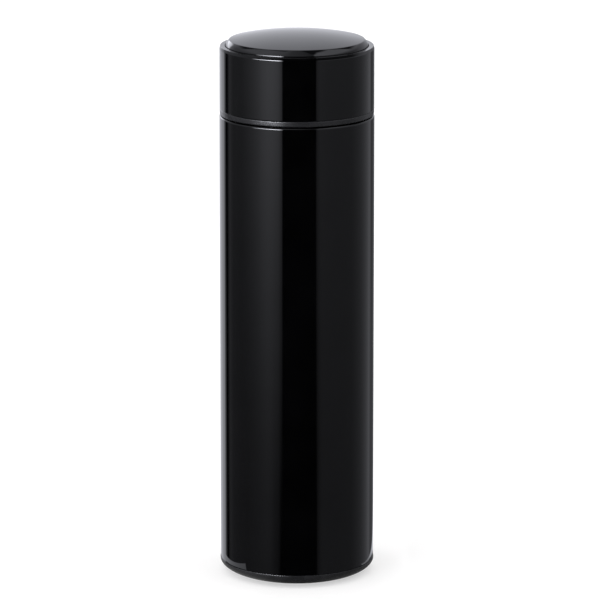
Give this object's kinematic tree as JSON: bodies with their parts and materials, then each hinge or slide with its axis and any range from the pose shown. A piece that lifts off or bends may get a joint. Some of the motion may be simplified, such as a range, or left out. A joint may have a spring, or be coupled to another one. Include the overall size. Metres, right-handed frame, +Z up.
{
  "type": "vacuum flask with screw lid and display window",
  "caption": "Slim double-walled steel vacuum flask in gloss black, with a screw lid that carries a temperature probe and display under a domed window.",
  "frame": {"origin": "centre of the round footprint, on the surface the flask stands on", "axes": "+Z up along the flask's axis of revolution; +X and +Y horizontal, the display's digits read along +X"},
  "size_m": [0.0654, 0.0654, 0.232],
  "materials": {
    "body_lacquer": "high-gloss black lacquer on drawn steel",
    "lid_lacquer": "high-gloss black lacquer on drawn steel",
    "window_black": "polished, nearly opaque black polycarbonate",
    "satin_black": "satin moulded black plastic with a fine grain",
    "brushed_steel": "stainless steel, brushed round the neck, electropolished inside",
    "probe_steel": "fine polished stainless steel",
    "cell_steel": "nickel-plated steel can",
    "spring_steel": "bright spring steel",
    "screw_steel": "zinc-plated steel",
    "aluminium_foil": "bright rolled foil",
    "getter_alloy": "sintered metal, dull grey",
    "solder_glass": "grey fused glass",
    "foot_rubber": "matt black rubber",
    "gasket_rubber": "matt black foam rubber",
    "seal_silicone": "translucent white food-grade silicone",
    "plug_polypropylene": "moulded dark grey polypropylene",
    "black_abs": "moulded black plastic",
    "white_foam": "closed-cell foam",
    "board_green": "green solder mask on glass-fibre board",
    "display_grey": "grey display housing",
    "diffuser_white": "milky diffuser film",
    "wire_sleeve": "red wire sleeving"
  },
  "bodies": {
    "flask": {"outer_shell": "body_lacquer", "inner_vessel": "brushed_steel", "bottom_plate": "brushed_steel", "vacuum_seal_bead": "solder_glass", "getter": "getter_alloy", "getter_strap": "spring_steel", "heat_shield": "aluminium_foil", "base_cup": "satin_black", "foot_pad": "foot_rubber"},
    "seal": {"sealing_ring": "seal_silicone"},
    "lid": {"lid_sleeve": "lid_lacquer", "lid_trim_ring": "satin_black", "lid_core": "black_abs", "screw_plug": "plug_polypropylene", "plug_insulation": "white_foam", "display_lens": "window_black", "lens_gasket": "gasket_rubber", "circuit_board": "board_green", "led_display": "display_grey", "display_diffuser": "diffuser_white", "control_chip": "black_abs", "touch_spring": "spring_steel", "coin_cell": "cell_steel", "battery_clip": "spring_steel", "battery_contact": "spring_steel", "temperature_probe": "probe_steel", "probe_seal": "seal_silicone", "thermistor": "solder_glass", "thermistor_lead": "wire_sleeve", "board_screw_1": "screw_steel", "plug_screw_1": "screw_steel", "board_screw_2": "screw_steel", "plug_screw_2": "screw_steel", "board_screw_3": "screw_steel", "plug_screw_3": "screw_steel"}
  },
  "joints": [
    {"name": "lid_lift", "type": "slide", "parent": "flask", "child": "seal", "axis": [0, 0, 1], "range_m": [0, 0.01]},
    {"name": "lid_turn", "type": "hinge", "parent": "seal", "child": "lid", "pos_m": [0, 0, 0.2], "axis": [0, 0, 1], "range_deg": [0, 900]}
  ],
  "couplings": [
    {"joint": "lid_lift", "follows": "lid_turn", "m_per_rad": 0.00063662}
  ]
}
